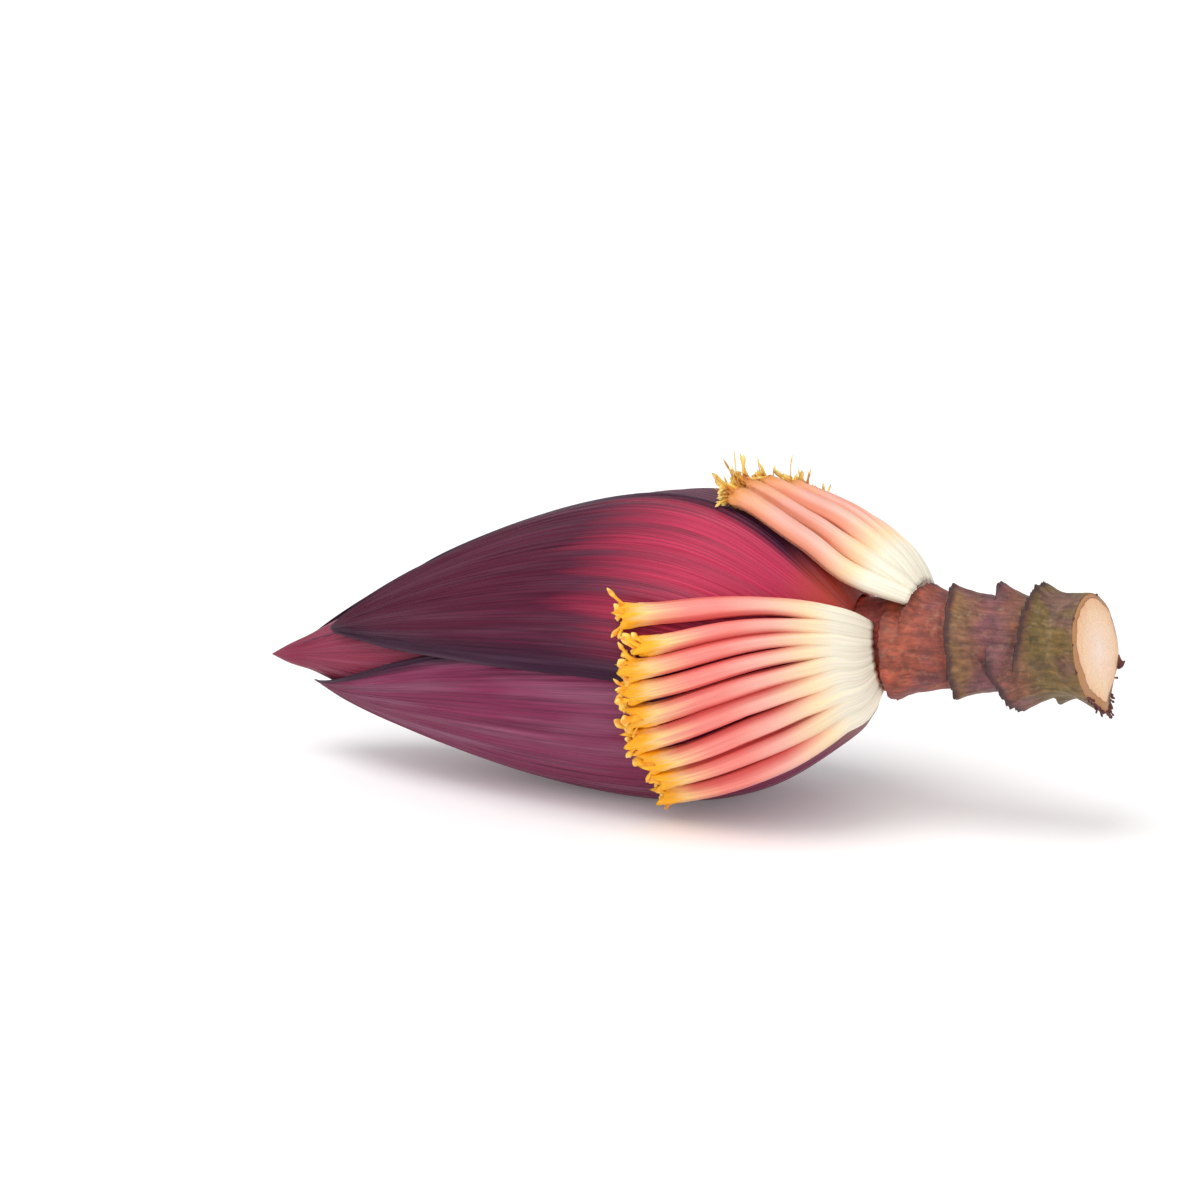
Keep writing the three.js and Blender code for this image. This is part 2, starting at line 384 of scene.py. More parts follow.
def bract_material(name, full, shade, bloom, root, band, wax_and_sheen_share):
    """Living banana bract: a tough leathery leaf, fine parallel veins under a waxy bloom.

    The wax gives it a broad soft gloss that breaks into silvery streaks along the veins.
    """
    material, tree = new_material(name)
    leaf = node(tree, "ShaderNodeAttribute", attribute_name="leaf").outputs["Vector"]
    parts = node(tree, "ShaderNodeSeparateXYZ", {"Vector": leaf})
    _, along, edge = parts.outputs

    # Clouds, streaks one vein wide and hair lines; across spans about 110 mm in 2 units.
    patterns = []
    for scale, detail in (((7.0, 2.2), 3.0), ((60.0, 3.0), 2.0), ((105.0, 3.0), 2.0)):
        stretched = node(tree, "ShaderNodeMapping", {"Vector": leaf, "Scale": (*scale, 0.0)})
        settings = {"Vector": stretched.outputs[0], "Scale": 1.0, "Detail": detail}
        patterns.append(node(tree, "ShaderNodeTexNoise", settings).outputs["Fac"])
    clouds, streaks, hairs = patterns

    # Full colour near the shoulder, darker towards the point: partly the bracts' own maroon,
    # partly painted shade.
    drift = node(
        tree, "ShaderNodeMath", {0: clouds, 1: 0.42, 2: -0.21}, operation="MULTIPLY_ADD"
    )
    place = node(tree, "ShaderNodeMath", {0: along, 1: drift.outputs[0]}, operation="ADD")
    body = node(
        tree,
        "ShaderNodeValToRGB",
        {"Fac": place.outputs[0]},
        stops=[(0.0, full), (0.18, full), (0.4, shade), (1.0, shade)],
    )
    tone = node(tree, "ShaderNodeMapRange", {0: streaks, 1: 0.3, 2: 0.7, 3: 0.72, 4: 1.3})
    # The dark bluish band along each margin, ragged where the veins carry it inwards.
    frayed = node(
        tree, "ShaderNodeMath", {0: streaks, 1: 0.16, 2: edge}, operation="MULTIPLY_ADD"
    )
    margin = node(
        tree,
        "ShaderNodeMapRange",
        {0: frayed.outputs[0], 1: 0.14, 2: band, 3: 1.0, 4: 0.0},
        interpolation_type="SMOOTHSTEP",
    )
    base = node(
        tree,
        "ShaderNodeMapRange",
        {0: along, 1: 0.005, 2: 0.075, 3: 1.0, 4: 0.0},
        interpolation_type="SMOOTHSTEP",
    )
    # Greyish lilac in broad clouds: partly the wax bloom's own colour, partly painted sheen.
    wax_and_sheen = node(tree, "ShaderNodeMapRange", {0: clouds, 1: 0.47, 2: 0.72, 3: 0.0, 4: wax_and_sheen_share})
    # Between the ridges, each vein shows as a thin paler line.
    line = node(tree, "ShaderNodeMapRange", {0: hairs, 1: 0.3, 2: 0.7, 3: 0.74, 4: 1.3})
    top = body.outputs[0]
    for blend, share, over in (
        ("MULTIPLY", 1.0, tone.outputs[0]),
        ("MIX", margin.outputs[0], (*bloom, 1)),
        ("MIX", base.outputs[0], (*root, 1)),
        ("MIX", wax_and_sheen.outputs[0], (*linear("#A88298"), 1)),
        ("MULTIPLY", 1.0, line.outputs[0]),
    ):
        settings = {"data_type": "RGBA", "blend_type": blend}
        top = node(tree, "ShaderNodeMix", {0: share, 6: top, 7: over}, **settings).outputs[2]
    gloss = node(tree, "ShaderNodeMapRange", {0: streaks, 1: 0.3, 2: 0.7, 3: 0.3, 4: 0.46})
    bump = node(
        tree, "ShaderNodeBump", {"Height": hairs, "Strength": 0.6, "Distance": 0.0004}
    )
    shader = node(
        tree,
        "ShaderNodeBsdfPrincipled",
        {
            "Base Color": top,
            "Roughness": gloss.outputs[0],
            "Normal": bump.outputs[0],
            "IOR": 1.45,
            "Specular IOR Level": 0.22,
        },
    )
    node(tree, "ShaderNodeOutputMaterial", {"Surface": shader.outputs[0]})
    return material


def ridges(bud, bract, across, s, seed):
    """Height of the veins' ridges from 0 to 1, and of the broad folds from -1 to 1."""
    settings = bpy.context.scene.blossom_bud
    spread = 2 * math.radians(bract["half"][1]) * bud.widest_radius * MM
    count = spread / settings.vein_spacing
    drift = grain(np.stack([across * 5, s / 60], 1), seed) * 1.1
    wave = np.sin(math.pi * (count * (across + 1) / 2 + drift))
    strength = 0.65 + 0.6 * grain(np.stack([across * 22, s / 30], 1), seed + 7)
    folds = grain(np.stack([across * 7, s / 90], 1), seed + 13)
    return (1 - (1 - np.abs(wave)) ** 2) * strength, folds


def make_bract(bud, layer, columns, rows, curl):
    """One bract from a flat grid: laid on the layers below, ribbed, then thickened inwards."""
    bract = BRACTS[layer]
    settings = bpy.context.scene.blossom_bud
    piece = flat_sheet(bract["name"] + "_leaf", columns, rows)
    grid = coordinates(piece)
    across, along = grid[:, 0], (1 + grid[:, 1]) / 2
    s = mix(bud.root, bract["apex"] * 0.9995, smooth(along**1.15, 0, 1))
    edge = (1 - np.abs(across)) * bud.half(bract, s) / bract["half"][1]
    wobble = grain(np.stack([np.sign(across) * 3, s / 22], 1), layer) * 1.2
    half = bud.half(bract, s) + wobble * np.clip(s / 30, 0, 1) * np.abs(across) ** 6
    phi = bud.centre(bract, s) + across * half
    ridge, folds = ridges(bud, bract, across, s, 20 * layer)
    calm = smooth(s, 0, 14) * (1 - smooth(s, bract["apex"] - 12, bract["apex"]))
    height = bud.layers_top(layer, s, phi) + GAP + bud.thickness(bract, s, across)
    height += calm * (ridge - 0.6) * settings.vein_height / MM
    height += calm * (0.4 * folds + 0.35 * np.abs(folds)) * (1 - 0.5 * smooth(s, 40, 90))
    height += curl * calm * (1 - smooth(edge, 0, 0.09))
    place = bud.world(bud.local(s, phi, height))
    place[:, 2] = np.maximum(place[:, 2], 0.0002)
    move_vertices(piece, place)
    body = bud.thickness(bract, s, across) / THICK * np.clip(edge * 12 + 0.25, 0, 1)
    middle = piece.data.polygons[len(piece.data.polygons) // 2]
    axis = Vector(bud.world(np.array([-60.0, 0, 0])))
    if middle.normal.dot(middle.center - axis) < 0:
        piece.data.flip_normals()
    thicken(piece, (THICK - 0.2) * MM, body)
    close_and_smooth(piece)
    # The upper margin's dark band is narrower than the lower one's.
    shown = edge * (1 + smooth(across, 0, 0.3))
    leaf = np.stack([across, s / bud.length, shown], 1)
    paint(piece, "leaf", np.concatenate([leaf, leaf]))
    return piece


class BLOSSOM_OT_bracts(bpy.types.Operator):
    """Adds the three bracts that wrap the bud"""

    bl_idname = "blossom.bracts"
    bl_label = "Bracts"

    def execute(self, context):
        look = context.scene.blossom_bud
        bud = Bud(look)
        bloom, root = tuple(look.bloom), tuple(look.root_red)
        plum, maroon, crimson = tuple(look.plum), tuple(look.maroon), tuple(look.crimson)
        # The grid and its curled margin, then colour, shade and root, the width of the dark band
        # at the margins, and how much greyish wax and painted sheen lies over it.
        finishes = [
            (300, 90, 0.2, plum, plum, linear("#94625A"), 0.3, 0.35),
            (300, 90, 0.2, maroon, maroon, root, 0.3, 0.25),
            (210, 110, 0.7, crimson, maroon, root, 0.5, 0.1),
        ]
        for layer, finish in enumerate(finishes):
            columns, rows, curl, full, shade, base, band, wax_and_sheen_share = finish
            name = BRACTS[layer]["name"]
            piece = make_bract(bud, layer, columns, rows, curl)
            material = bract_material("waxy_" + name, full, shade, bloom, base, band, wax_and_sheen_share)
            dress(piece, material, [name])
        return {"FINISHED"}


# ---- Inner bud ----


class BLOSSOM_OT_inner_bud(bpy.types.Operator):
    """Adds the closed bud inside the bracts, with the margins of its own young bracts"""

    bl_idname = "blossom.inner_bud"
    bl_label = "Inner bud"

    def execute(self, context):
        look = context.scene.blossom_bud
        bud = Bud(look)
        piece = flat_sheet("inner_bud_heart", 160, 120)
        grid = coordinates(piece)
        phi, along = grid[:, 0] * 180, (1 + grid[:, 1]) / 2
        s = mix(bud.root, bud.length * 0.9985, smooth(along**1.15, 0, 1) ** 0.92)
        # Two young bracts lap over the heart: each margin runs aslant to the point.
        lap = np.zeros_like(s)
        edge = np.ones_like(s)
        for start, slope, depth in ((20, 0.55, 0.7), (150, -0.5, 0.55)):
            margin = start + slope * (s - 110)
            off = (phi - margin + 180) % 360 - 180
            step = smooth(off, -1.5, 1.5) * (1 - smooth(off, 60, 130))
            lap -= depth * (1 - step) * smooth(s, 100, 125)
            edge = np.minimum(edge, np.where(off > 0, off / 30, 1))
        angle = np.radians(phi)
        fine = grain(np.stack([np.cos(angle) * 12, np.sin(angle) * 12 + s / 40], 1), 3)
        height = lap * smooth(bud.length - s, 1, 14) + 0.12 * fine
        height *= smooth(bud.length - s, 0.5, 12)
        move_vertices(piece, bud.world(bud.local(s, phi, height)))
        paint(piece, "leaf", np.stack([grid[:, 0] * 3, s / bud.length, np.clip(edge, 0, 1)], 1))
        close_and_smooth(piece, weld=0.00002)
        material = bract_material(
            "young_bract",
            linear("#A8324A"),
            linear("#8E2C48"),
            linear("#5A2440"),
            tuple(look.root_red),
            0.25,
            0.2,
        )
        dress(piece, material, ["inner_bud"])
        return {"FINISHED"}


# ---- Florets ----

# Reach along the bud, and phi at the root, the knee and the mouth. The knees are at knee_at along
# the bud. The roots stand root_height above the inner bud, on the stalk, and each floret comes
# down to the bracts over its own landing.
HANDS = {
    "front": {
        "reach": (50.2, 45, 48.6, 49.6, 49.4, 51, 49.2, 47.6, 49),
        "root": (27, 18, 10, 2, -6, -15, -25, -37, -51),
        "knee": (26, 19, 13, 7, 0.5, -7, -16, -26, -37),
        "mouth": (21.3, 11.2, 4, -3.4, -12.3, -21, -29.9, -38, -46.8),
        "knee_at": 5,
        "root_height": 7,
        "root_depth": 1.4,
        "landing": (5,) * 9,
    },
    "top": {
        "reach": (28.3, 27, 24.4, 20, 19.5, 19, 18.5),
        "root": (59, 69, 80, 91, 101, 111, 121),
        "knee": (63, 76, 86.5, 97.5, 109, 120.5, 132),
        "mouth": (74, 84.5, 94, 103.5, 113, 123, 133),
        "knee_at": 9,
        "root_height": 16.5,
        "root_depth": 2.7,
        "landing": (1.2, 3, 5.5, 6, 6, 6, 6),
    },
}


class Path:
    """A line with a width and a depth, which a piece modelled straight along X is bent to."""

    def __init__(self, centre, outward, half_width, half_depth):
        self.centre = centre
        step = np.linalg.norm(np.diff(centre, axis=0), axis=1)
        self.length = step.sum()
        self.share = np.concatenate([[0], np.cumsum(step)]) / self.length
        along = np.gradient(centre, axis=0)
        self.along = along / np.linalg.norm(along, axis=1)[:, None]
        side = np.cross(outward, self.along)
        self.side = side / np.linalg.norm(side, axis=1)[:, None]
        self.out = np.cross(self.along, self.side)
        self.half_width = np.broadcast_to(half_width, self.share.shape)
        self.half_depth = np.broadcast_to(half_depth, self.share.shape)

    def read(self, values, x):
        columns = np.atleast_2d(values.T)
        return np.stack([np.interp(x, self.share, c) for c in columns], -1)

    def bend(self, straight):
        x = straight[:, 0]
        t = np.clip(x, 0, 1)
        past = ((x - t) * self.length)[:, None]
        width = self.read(self.half_width, t) * straight[:, 1:2]
        depth = self.read(self.half_depth, t) * straight[:, 2:3]
        middle = self.read(self.centre, t) + past * self.read(self.along, t)
        return middle + width * self.read(self.side, t) + depth * self.read(self.out, t)


def to_neighbour(angles, i):
    """Degrees from the angle at i to the nearer of its neighbours."""
    return min(abs(angles[k] - angles[i]) for k in (i - 1, i + 1) if 0 <= k < len(angles))


def floret_path(bud, hand, i):
    reach, knee_at = hand["reach"][i], hand["knee_at"]
    s = mix(bud.root, reach, np.linspace(0, 1, 90) ** 1.4)
    root, knee, mouth = (
        (hand[k][i], to_neighbour(hand[k], i)) for k in ("root", "knee", "mouth")
    )
    bent, run = smooth(s, 0, knee_at), smooth(s, knee_at, reach)
    phi = root[0] + (knee[0] - root[0]) * bent + (mouth[0] - knee[0]) * run
    spread = root[1] + (knee[1] - root[1]) * bent + (mouth[1] - knee[1]) * run
    settings = bpy.context.scene.blossom_floret
    half_depth = mix(hand["root_depth"], settings.depth / MM / 2, smooth(s, 0, reach / 3))
    under = bud.layers_top(len(BRACTS), s, phi) + 0.35
    lift = hand["root_height"] - under[0] - half_depth[0]
    height = under + half_depth + lift * np.exp((bud.root - s) / hand["landing"][i])
    centre = bud.local(s, phi, height)
    outward = bud.local(s, phi, height + 1) - centre
    # Pressed together at the root, where the hand is one cushion, and free from there on.
    room = np.radians(spread) * np.hypot(centre[:, 1], centre[:, 2]) / 2
    fused = 0.9 * (1 - smooth(s, 2, 14))
    half_width = np.minimum(settings.width / MM / 2, room + 0.05 + fused)
    return Path(centre, outward, half_width, half_depth)


def straight_floret(name, chance):
    """A floret modelled straight along X, in half widths: root at 0, tips of its lobes near 1."""
    piece = disc(name, 48, faces_along_x=True)
    bpy.ops.object.mode_set(mode="EDIT")
    bpy.ops.mesh.select_all(action="SELECT")
    stations = [i / 45 for i in range(1, 38)] + [0.84 + 0.008 * i for i in range(12)]
    before = 0.0
    for x in stations:
        bpy.ops.mesh.extrude_region_move(TRANSFORM_OT_translate={"value": (x - before, 0, 0)})
        before = x
    bpy.ops.object.mode_set(mode="OBJECT")
    co = coordinates(piece)
    x = co[:, 0]
    angle = np.arctan2(co[:, 2], co[:, 1])
    swell = np.interp(
        x,
        [0, 0.1, 0.2, 0.32, 0.6, 0.8, 0.86, 0.9, 0.93],
        [0.85, 1.0, 1.03, 0.96, 0.92, 0.86, 0.88, 0.96, 0.9],
    )
    turn = chance.uniform(0, 2 * math.pi)
    # The five tepals are joined edge to edge, so the tube has low ribs and grooves along it.
    ribs = 1 + 0.05 * np.cos(3 * angle + turn) + 0.035 * np.cos(5 * angle + 2 * turn)
    ribs += 0.022 * np.sin(9 * angle + 4 * x + turn) * smooth(x, 0.15, 0.5)
    crumpled = grain(np.stack([angle * 2.2, x * 60], 1), turn * 10)
    radius = swell * ribs * (1 + 0.13 * crumpled * smooth(x, 0.83, 0.9))
    # Five lobes round the mouth, of uneven length, some curled out and some in.
    opened = smooth(x, 0.85, 0.93)
    stretch = np.zeros_like(x)
    curl = np.zeros_like(x)
    for k in range(5):
        middle = turn + k * 2 * math.pi / 5 + chance.uniform(-0.25, 0.25)
        off = np.abs((angle - middle + math.pi) % (2 * math.pi) - math.pi)
        tongue = np.clip(1 - off / chance.uniform(0.4, 0.62), 0, 1)
        stretch += chance.uniform(0.015, 0.075) * tongue**0.7
        curl += chance.uniform(-0.4, 0.45) * tongue
    co[:, 0] += opened**1.5 * stretch
    radius = radius * (1 + opened**2 * curl)
    co[:, 1] = radius * np.cos(angle) + 0.1 * np.sin(7 * x + turn) * smooth(x, 0.1, 0.4)
    co[:, 2] = radius * np.sin(angle)
    move_vertices(piece, co)
    bpy.ops.object.mode_set(mode="EDIT")
    for dx, size in ((0.003, 0.9), (-0.012, 0.9), (-0.03, 0.9), (-0.04, 0.8), (-0.02, 0.4)):
        bpy.ops.mesh.extrude_region_move(TRANSFORM_OT_translate={"value": (dx, 0, 0)})
        bpy.ops.transform.resize(value=(0.75, size, size), center_override=(0.93 + dx, 0, 0))
    bpy.ops.object.mode_set(mode="OBJECT")
    close_and_smooth(piece)
    return piece


def straight_strand(name):
    """A style modelled straight along X: a thin stem from 0 to 1 that ends in a knob."""
    piece = disc(name, 7, faces_along_x=True)
    bpy.ops.object.mode_set(mode="EDIT")
    bpy.ops.mesh.select_all(action="SELECT")
    sizes = [0.95, 0.9, 0.88, 0.85, 0.82, 0.8, 0.78, 0.85, 1.2, 1.3, 0.9, 0.3]
    before = 1.0
    for size in sizes:
        bpy.ops.mesh.extrude_region_move(
            TRANSFORM_OT_translate={"value": (1 / len(sizes), 0, 0)}
        )
        bpy.ops.transform.resize(value=(1, size / before, size / before))
        before = size
    bpy.ops.object.mode_set(mode="OBJECT")
    co = coordinates(piece)
    co[:, 1:] -= co[:, 1:].mean(0)
    move_vertices(piece, co)
    close_and_smooth(piece)
    return piece


def copy_of(piece, name):
    made = piece.copy()
    made.data = piece.data.copy()
    made.name = name
    bpy.context.collection.objects.link(made)
    return made


def floret_material(look, name, tube_colour, flush_and_shade_colour, wilted):
    """Banana floret: a crisp, water-filled tube with a thin satin skin that lets light in.

    Cream where it was hidden in the bud, salmon along the tube and orange round the mouth.
    """
    material, tree = new_material(name)
    tube = node(tree, "ShaderNodeAttribute", attribute_name="tube").outputs["Vector"]
    parts = node(tree, "ShaderNodeSeparateXYZ", {"Vector": tube})
    side, _, along = parts.outputs
    # Streaks about 0.8 mm wide that run the length of the tube, and finer fibres.
    patterns = []
    for scale, detail in (((4.5, 4.5, 2.0), 3.0), ((13.0, 13.0, 5.0), 2.0)):
        stretched = node(tree, "ShaderNodeMapping", {"Vector": tube, "Scale": scale})
        settings = {"Vector": stretched.outputs[0], "Scale": 1.0, "Detail": detail}
        patterns.append(node(tree, "ShaderNodeTexNoise", settings).outputs["Fac"])
    streaks, fibres = patterns
    drift = node(
        tree, "ShaderNodeMath", {0: streaks, 1: 0.16, 2: -0.08}, operation="MULTIPLY_ADD"
    )
    place = node(tree, "ShaderNodeMath", {0: along, 1: drift.outputs[0]}, operation="ADD")
    body = node(
        tree,
        "ShaderNodeValToRGB",
        {"Fac": place.outputs[0]},
        stops=[
            (0.0, tuple(look.cream)),
            (0.2, tuple(look.cream)),
            (0.3, linear("#FFE3B8")),
            (0.46, mix_colours(look.cream, tube_colour, 0.7)),
            (0.6, tube_colour),
            (0.7, tube_colour),
            (0.79, linear("#F3AE8A")),
            (0.85, linear("#F2A984") if wilted else linear("#F5CB86")),
            (0.9, linear("#E79A5C") if wilted else linear("#F9B024")),
            (0.95, linear("#CF8440") if wilted else tuple(look.orange)),
            # The lobes' paler yellow tips are a painted highlight.
            (1.0, linear("#E2B458") if wilted else linear("#FCC83C")),
        ],
    )
    tone = node(tree, "ShaderNodeMapRange", {0: streaks, 1: 0.3, 2: 0.7, 3: 0.86, 4: 1.1})
    # The flanks flush redder: partly the florets' own pinker sides, partly painted shade between
    # the crowded tubes.
    width = node(tree, "ShaderNodeMath", {0: side}, operation="ABSOLUTE")
    settings = {0: width.outputs[0], 1: 0.45, 2: 1.0, 3: 0.0, 4: 0.85}
    flank = node(tree, "ShaderNodeMapRange", settings)
    window = node(
        tree,
        "ShaderNodeValToRGB",
        {"Fac": along},
        stops=[(0.2, (0, 0, 0)), (0.45, (1, 1, 1)), (0.8, (1, 1, 1)), (0.9, (0, 0, 0))],
    )
    flush_and_shade = node(
        tree, "ShaderNodeMath", {0: flank.outputs[0], 1: window.outputs[0]}, operation="MULTIPLY"
    )
    top = body.outputs[0]
    for blend, share, over in (
        ("MULTIPLY", 1.0, tone.outputs[0]),
        ("MIX", flush_and_shade.outputs[0], (*flush_and_shade_colour, 1)),
    ):
        settings = {"data_type": "RGBA", "blend_type": blend}
        top = node(tree, "ShaderNodeMix", {0: share, 6: top, 7: over}, **settings).outputs[2]
    bump = node(
        tree, "ShaderNodeBump", {"Height": fibres, "Strength": 0.3, "Distance": 0.0003}
    )
    shader = node(
        tree,
        "ShaderNodeBsdfPrincipled",
        {
            "Base Color": top,
            "Roughness": 0.42,
            "Normal": bump.outputs[0],
            "IOR": 1.4,
            "Subsurface Weight": 0.15,
            "Subsurface Radius": (1.0, 0.35, 0.25),
            "Subsurface Scale": 0.0012,
        },
    )
    node(tree, "ShaderNodeOutputMaterial", {"Surface": shader.outputs[0]})
    return material


def style_material(name, wilted):
    """Styles and stamens: dry, slightly waxy threads, orange, paler and browned as they wilt."""
    if wilted:
        tones_to_lit_tip, dark = ("#B25A2E", "#E0963A", "#F0C24A", "#F8E494"), linear("#B8602E")
    else:
        tones_to_lit_tip, dark = ("#E08A1C", "#F7A51C", "#FDBE2E", "#FFDF7A"), linear("#E8860E")
    material, tree = new_material(name)
    tube = node(tree, "ShaderNodeAttribute", attribute_name="tube").outputs["Vector"]
    along = node(tree, "ShaderNodeSeparateXYZ", {"Vector": tube}).outputs[2]
    place = node(tree, "ShaderNodeTexCoord").outputs["Object"]
    # Threads a millimetre or two apart differ in colour.
    patches = node(tree, "ShaderNodeTexNoise", {"Vector": place, "Scale": 420.0, "Detail": 1.0})
    # Orange at each thread's base, paler yellow towards its tip: the pale tips are a painted
    # highlight.
    body = node(
        tree,
        "ShaderNodeValToRGB",
        {"Fac": along},
        stops=[(at, linear(tone)) for at, tone in zip((0.0, 0.3, 0.65, 1.0), tones_to_lit_tip)],
    )
    share = node(
        tree,
        "ShaderNodeMapRange",
        {0: patches.outputs["Fac"], 1: 0.5, 2: 0.66, 3: 0.0, 4: 0.75},
    )
    mixed = node(
        tree,
        "ShaderNodeMix",
        {0: share.outputs[0], 6: body.outputs[0], 7: (*dark, 1)},
        data_type="RGBA",
    )
    shader = node(
        tree,
        "ShaderNodeBsdfPrincipled",
        {"Base Color": mixed.outputs[2], "Roughness": 0.45, "IOR": 1.4},
    )
    node(tree, "ShaderNodeOutputMaterial", {"Surface": shader.outputs[0]})
    return material


def curled_path(start, direction, length, bow, half_width, half_depth):
    """A short curved line that leaves start along direction and bows sideways."""
    t = np.linspace(0, 1, 12)[:, None]
    centre = start + direction * length * t + bow * length * t**2
    outward = np.cross(np.gradient(centre, axis=0), [0.3, 0.5, 0.8])
    return Path(centre, outward, half_width, half_depth)


def paint_tube(piece, straight, turn=0.0):
    """Side and outward share round the tube and the place along it, for its material."""
    radius = np.hypot(straight[:, 1], straight[:, 2]) + 1e-6
    around = [straight[:, 1] / radius, straight[:, 2] / radius + turn]
    paint(piece, "tube", np.stack([*around, straight[:, 0]], 1))


def crowd_mouth(bud, path, strand, chance, count, length, radius, lift, place=0.9):
    """Styles, stamens and curled tepal tips at one floret's mouth, from place along its path."""
    made = []
    at = int(place * len(path.centre))
    end, ahead = path.centre[at], path.along[at]
    side, out = path.side[at], path.out[at]
    for k in range(count):
        angle = 2 * math.pi * (k + chance.uniform(-0.3, 0.3)) / count
        ring = side * math.cos(angle) + out * math.sin(angle)
        start = end + ring * chance.uniform(0.9, 1.9) - ahead * chance.uniform(0, 1.5)
        direction = ahead + ring * chance.uniform(0, 0.35) + out * chance.uniform(0, lift)
        direction /= np.linalg.norm(direction)
        bow = side * chance.uniform(-0.9, 0.9) + out * chance.uniform(-0.6, 0.6) * (1 + lift)
        thick = chance.uniform(*radius)
        flat = chance.choice([1.0, 1.6, 2.2])
        line = curled_path(start, direction, chance.uniform(*length), bow, thick * flat, thick)
        piece = copy_of(strand, "style")
        straight = coordinates(piece)
        move_vertices(piece, bud.world(line.bend(straight)))
        paint_tube(piece, straight)
        made.append(piece)
    return made


# Styles in each mouth: how many, their lengths and radii, how far they stand up, and the tube's
# colour with its redder flanks, partly painted shade.
MOUTHS = {
    "front": (10, (3.5, 6.5), (0.3, 0.55), 0.1, "#F28C82", "#D94E4C"),
    "top": (18, (3.0, 6.5), (0.13, 0.26), 0.8, "#F3B2A2", "#E58A66"),
}
# The wilted mouths have frayed to a short brown fringe, which starts nearer the tube's end.
FRINGE = (16, (1.8, 3.6), (0.22, 0.42), 0.15, 0.955)


def make_hand(bud, key, seed):
    """Bends one copy of a straight floret to each path and adds the styles in their mouths."""
    look = bpy.context.scene.blossom_floret
    chance = random.Random(seed)
    models = [straight_floret("model_floret", chance) for _ in range(3)]
    strand = straight_strand("model_style")
    count, length, radius, lift, tube_colour, flush_and_shade_colour = MOUTHS[key]
    tissue = floret_material(
        look,
        key + "_floret_tissue",
        linear(tube_colour),
        linear(flush_and_shade_colour),
        key == "top",
    )
    thread = style_material(key + "_style_thread", key == "top")
    hand = HANDS[key]
    strands = []
    for i in range(len(hand["reach"])):
        name = f"{key}_floret_{i + 1}"
        path = floret_path(bud, hand, i)
        piece = copy_of(models[i % 3], name + "_tube")
        straight = coordinates(piece)
        move_vertices(piece, bud.world(path.bend(straight)))
        paint_tube(piece, straight, turn=i)
        close_and_smooth(piece)
        dress(piece, tissue, [name])
        strands += crowd_mouth(bud, path, strand, chance, count, length, radius, lift)
        if key == "top":
            strands += crowd_mouth(bud, path, strand, chance, *FRINGE)
    joined = join(strands, key + "_styles")
    bpy.ops.object.shade_smooth()
    dress(joined, thread, [])
    for model in [*models, strand]:
        bpy.data.objects.remove(model)


class BLOSSOM_OT_front_hand(bpy.types.Operator):
    """Adds the nine florets that face the front, with their styles"""

    bl_idname = "blossom.front_hand"
    bl_label = "Front hand"

    def execute(self, context):
        make_hand(Bud(context.scene.blossom_bud), "front", 11)
        return {"FINISHED"}


class BLOSSOM_OT_top_hand(bpy.types.Operator):
    """Adds the seven florets that stand on the top, with their styles"""

    bl_idname = "blossom.top_hand"
    bl_label = "Top hand"

    def execute(self, context):
        make_hand(Bud(context.scene.blossom_bud), "top", 23)
        return {"FINISHED"}


# ---- Stalk ----

# Place along the stalk and round it, span to both sides, height of the rim, length that it fades
# over, and how the rim moves along the stalk per degree and per degree squared.
SCARS = [
    (8.5, -45, 105, 3.0, 15, 0.01, 0),
    (17, 80, 60, 2.8, 8, 0.06, 0),
    (25.8, 10, 120, 3.0, 12, 0, -0.0001),
    (28, 190, 62, 3.0, 12, -0.03, 0),
    (38.5, -50, 62, 4.6, 14, -0.05, 0),
    (36.5, 120, 50, 3.6, 9, 0, 0),
    (45.5, 50, 75, 4.0, 13, 0.045, 0),
    (47, 215, 66, 3.6, 11, 0.03, 0),
]
STALK_DROOP = 0.0009
ROOT_RADIUS = 11.2


def stalk_surface(look, x, phi):
    """Radius of the stalk, and how far each scar's dried edge and dark band reach each place."""
    base, end, collar = look.radius / MM, look.end / MM, look.collar / MM
    radius = base + 2 * smooth(x, end - 8, end)
    ring = np.stack([np.cos(np.radians(phi)), np.sin(np.radians(phi))], -1)
    dry = np.zeros_like(x)
    rim_band = np.zeros_like(x)
    for index, (place, middle, span, rise, length, lean, bow) in enumerate(SCARS):
        off = (phi - middle + 180) % 360 - 180
        ragged = grain(ring * 3.5, 40 + index) * 0.5 + grain(ring * 13, 60 + index) * 0.35
        rim = place + lean * off + bow * off**2 + ragged
        cover = smooth(1 - np.abs(off) / span, 0, 0.4)
        behind = np.clip(1 - (x - rim) / length, 0, 1) ** 2
        proud = rise * (1 + 0.25 * grain(ring * 8, 80 + index))
        radius = radius + proud * cover * smooth(x - rim, -0.5, 0) * behind
        groove = np.exp(-(((x - rim + 1.3) / 0.9) ** 2))
        radius = radius - 0.35 * cover * groove
        # The two youngest scars, next to the bud, have hardly dried.
        aged = 0.35 if index < 2 else 1
        dry = np.maximum(dry, aged * cover * np.exp(-(((x - rim + 0.15) / 0.6) ** 2)))
        # A dark band just behind each scar's rim.
        width = 0.7 + 0.4 * grain(ring * 6, 100 + index)
        rim_band = np.maximum(rim_band, 0.8 * aged * cover * np.exp(-(((x - rim - 0.7) / width) ** 2)))
    fibre = grain(np.stack([phi * 0.45, x / 9], 1), 5)
    lumps = grain(np.stack([np.radians(phi) * 2.2, x / 5], 1), 6)
    body = smooth(x, collar - 0.5, collar + 1)
    dents = grain(np.stack([np.radians(phi) * 6, x / 2.2], 1), 8)
    radius = radius + body * (0.1 * fibre + 0.3 * lumps + 0.16 * dents)
    return np.where(x < collar, ROOT_RADIUS, radius), dry, rim_band


